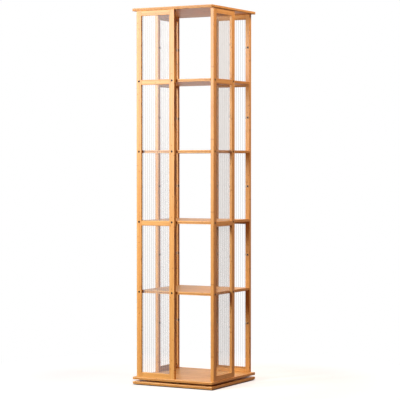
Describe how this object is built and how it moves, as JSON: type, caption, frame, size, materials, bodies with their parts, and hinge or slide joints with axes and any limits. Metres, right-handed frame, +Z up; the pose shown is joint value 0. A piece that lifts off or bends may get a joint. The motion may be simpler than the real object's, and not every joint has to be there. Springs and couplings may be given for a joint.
{
  "type": "revolving bookcase",
  "caption": "Tall square wooden bookcase that turns on a ball-bearing base, with open bays and framed clear fluted panels set round its shelves like a pinwheel.",
  "frame": {"origin": "on the floor, on the turning axis, under the middle of the base board", "axes": "+Z up along the turning axis; -Y out of the side on the left in the picture, +X out of the side on its right"},
  "size_m": [0.4, 0.4, 1.644],
  "materials": {
    "wood": "clear satin lacquer, honey",
    "fluted_sheet": "clear, fluted",
    "clip": "clear",
    "screw": "black",
    "aluminium": "mill finish",
    "steel": "bright",
    "retainer": "natural",
    "rubber": "matt"
  },
  "bodies": {
    "base": {"base_board": "wood", "foot_pads": "rubber", "bearing_inner_ring": "aluminium", "inner_ring_screws": "steel"},
    "ball_cage": {"ball_retainer": "retainer", "bearing_balls": "steel"},
    "carousel": {"bearing_outer_ring": "aluminium", "outer_ring_screws": "steel", "bottom_board": "wood", "shelf_1": "wood", "shelf_2": "wood", "shelf_3": "wood", "shelf_4": "wood", "top_board": "wood", "front_corner_stile": "wood", "front_middle_stile": "wood", "front_bottom_rail": "wood", "front_lower_rail": "wood", "front_upper_rail": "wood", "front_top_rail": "wood", "front_bottom_sheet": "fluted_sheet", "front_middle_sheet": "fluted_sheet", "front_top_sheet": "fluted_sheet", "right_corner_stile": "wood", "right_middle_stile": "wood", "right_bottom_rail": "wood", "right_lower_rail": "wood", "right_upper_rail": "wood", "right_top_rail": "wood", "right_bottom_sheet": "fluted_sheet", "right_middle_sheet": "fluted_sheet", "right_top_sheet": "fluted_sheet", "back_corner_stile": "wood", "back_middle_stile": "wood", "back_bottom_rail": "wood", "back_lower_rail": "wood", "back_upper_rail": "wood", "back_top_rail": "wood", "back_bottom_sheet": "fluted_sheet", "back_middle_sheet": "fluted_sheet", "back_top_sheet": "fluted_sheet", "left_corner_stile": "wood", "left_middle_stile": "wood", "left_bottom_rail": "wood", "left_lower_rail": "wood", "left_upper_rail": "wood", "left_top_rail": "wood", "left_bottom_sheet": "fluted_sheet", "left_middle_sheet": "fluted_sheet", "left_top_sheet": "fluted_sheet", "frame_screws": "screw", "top_screws": "screw", "bottom_screws": "screw", "sheet_clips": "clip", "clip_screws": "screw"}
  },
  "joints": [
    {"name": "turn", "type": "hinge", "parent": "base", "child": "carousel", "pos_m": [0, 0, 0.019], "axis": [0, 0, 1], "continuous": true},
    {"name": "cage_turn", "type": "hinge", "parent": "base", "child": "ball_cage", "pos_m": [0, 0, 0.019], "axis": [0, 0, 1], "continuous": true}
  ],
  "couplings": [
    {"joint": "cage_turn", "follows": "turn", "ratio": 0.51603}
  ]
}
